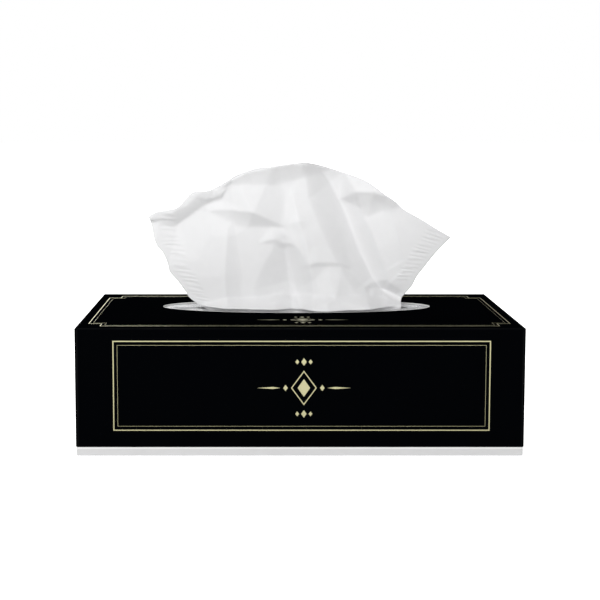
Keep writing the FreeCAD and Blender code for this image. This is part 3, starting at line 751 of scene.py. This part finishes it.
# The folded half, from the slit down to the pack, forward, round the fold and back: each place on
# its way as (y, z, how far the sheet is spread to its full width there).
pack_top = PACK_HIGH.z + 1.1 * PLY
upper_layer = pack_top + LAYER_GAP
fold_front = PACK_LOW.y + 2.2 * MM
slit_low = HEIGHT - 2.5 * MM
course = np.array([
    (MOUTH_BACK, slit_low, 0.0),
    (MOUTH_BACK - 1 * MM, slit_low - 2.5 * MM, 0.15),
    (MOUTH_BACK - 4 * MM, slit_low - 5.2 * MM, 0.4),
    (MOUTH_BACK - 10 * MM, upper_layer + 0.3 * MM, 0.7),
    (MOUTH_BACK - 22 * MM, upper_layer, 0.95),
    (MOUTH_BACK - 36 * MM, upper_layer, 1.0),
    (fold_front + 4 * MM, upper_layer, 1.0),
    (fold_front + 1 * MM, upper_layer, 1.0),
    (fold_front, pack_top + LAYER_GAP / 2, 1.0),
    (fold_front + 1 * MM, pack_top, 1.0),
    (fold_front + 6 * MM, pack_top, 1.0),
    (fold_front + 40 * MM, pack_top, 1.0),
])
way = np.concatenate([[0], np.cumsum(np.hypot(np.diff(course[:, 0]), np.diff(course[:, 1])))])
rows = np.linspace(0, way[-1], BEND_ROWS + 1)[1:]
tail_y, tail_z, spread = (np.interp(rows, way, course[:, k])[:, None] for k in (0, 1, 2))
foot = fan[-1]
wide = (np.linspace(-0.5, 0.5, COLUMNS + 1) * SHEET_SIDE)[None, :]
tail_x = foot[None, :, 0] * (1 - spread) + wide * spread
ripple = (foot[None, :, 1] - MOUTH_BACK) * (1 - spread)
tail = np.stack([tail_x, tail_y + ripple, tail_z + 0 * tail_x], axis=-1)
grid = np.concatenate([fan, tail])

data = bpy.data.meshes.new("drawn_tissue")
index = np.arange(len(grid) * (COLUMNS + 1)).reshape(len(grid), COLUMNS + 1)
quads = np.stack([index[:-1, :-1], index[1:, :-1], index[1:, 1:], index[:-1, 1:]], axis=-1)
data.from_pydata(grid.reshape(-1, 3).tolist(), [], quads.reshape(-1, 4).tolist())
drawn_tissue = finish_piece(data, "drawn_tissue", tissue, True)
plies = drawn_tissue.modifiers.new("plies", "SOLIDIFY")
plies.thickness = PLY
plies.offset = 0.0
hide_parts("drawn_sheet")


# Stage: a plain white floor under an even white sky, with three soft lights as for a catalogue
# picture: a key from the upper left front, a broad fill from the front, and one from behind.
SKY_LIGHT, FLOOR_LIGHT = 0.47, 0.1  # the share of their white that lights the carton
FLOOR_HALF = 6
LIGHTS_AIM = (0, 0, 0.1)
LIGHTS = (
    ("key", (-0.9, -0.95, 0.95), 0.4, 9.5),
    ("fill", (0.05, -1.7, 0.3), 1.2, 20.4),
    ("back", (-0.5, 1.7, 0.9), 1.4, 20.0),
)
floor_data = bpy.data.meshes.new("floor")
floor_corners = rectangle(-FLOOR_HALF, -FLOOR_HALF, FLOOR_HALF, FLOOR_HALF)
floor_data.from_pydata([(x, y, 0) for x, y in floor_corners], [], [(0, 1, 2, 3)])
floor = bpy.data.objects.new("floor", floor_data)
bpy.context.scene.collection.objects.link(floor)
floor_material, floor_tree, floor_shader = new_material("floor_white")
floor_shader.inputs["Base Color"].default_value = (0.93, 0.93, 0.93, 1.0)
floor_shader.inputs["Roughness"].default_value = 1.0
floor_shader.inputs["Emission Color"].default_value = (1.0, 1.0, 1.0, 1.0)
floor_seen = add_node(floor_tree, "ShaderNodeLightPath").outputs["Is Camera Ray"]
glow = add_node(floor_tree, "ShaderNodeMapRange", {0: floor_seen, 3: FLOOR_LIGHT, 4: 1.0})
floor_tree.links.new(glow.outputs[0], floor_shader.inputs["Emission Strength"])
floor_shader.inputs["Specular IOR Level"].default_value = 0.0
floor_data.materials.append(floor_material)

world = bpy.data.worlds.new("even_sky")
bpy.context.scene.world = world
world.use_nodes = True
sky = world.node_tree.nodes["Background"]
sky.inputs[0].default_value = (1.0, 1.0, 1.0, 1.0)
seen = add_node(world.node_tree, "ShaderNodeLightPath").outputs["Is Camera Ray"]
strength = add_node(world.node_tree, "ShaderNodeMapRange", {0: seen, 3: SKY_LIGHT, 4: 1.0})
world.node_tree.links.new(strength.outputs[0], sky.inputs[1])


def add_light(name, place, size, power):
    """A square soft light aimed at the carton."""
    light = bpy.data.lights.new(name, "AREA")
    light.shape, light.size, light.energy = "SQUARE", size, power
    lamp = bpy.data.objects.new(name, light)
    lamp.location = place
    lamp.rotation_mode = "QUATERNION"
    lamp.rotation_quaternion = (Vector(LIGHTS_AIM) - Vector(place)).to_track_quat("-Z", "Y")
    bpy.context.scene.collection.objects.link(lamp)


for light_values in LIGHTS:
    add_light(*light_values)
bpy.context.scene.view_settings.view_transform = "Standard"
bpy.context.scene.view_settings.look = "None"

# Camera: in front and a little left of the middle, looking slightly down.
CAMERA_PLACE, CAMERA_DOWN = (-0.0187, -0.656, 0.176), 5.275  # in m, and in degrees
CAMERA_LENS, CAMERA_SHIFT = 71.51, (0.061, -0.13)
camera_data = bpy.data.cameras.new("camera")
camera = bpy.data.objects.new("camera", camera_data)
bpy.context.scene.collection.objects.link(camera)
camera_data.lens = CAMERA_LENS
camera_data.shift_x, camera_data.shift_y = CAMERA_SHIFT
camera.location = CAMERA_PLACE
camera.rotation_euler = (math.radians(90 - CAMERA_DOWN), 0, 0)
camera_data.clip_start, camera_data.clip_end = 0.01, 50
bpy.context.scene.camera = camera
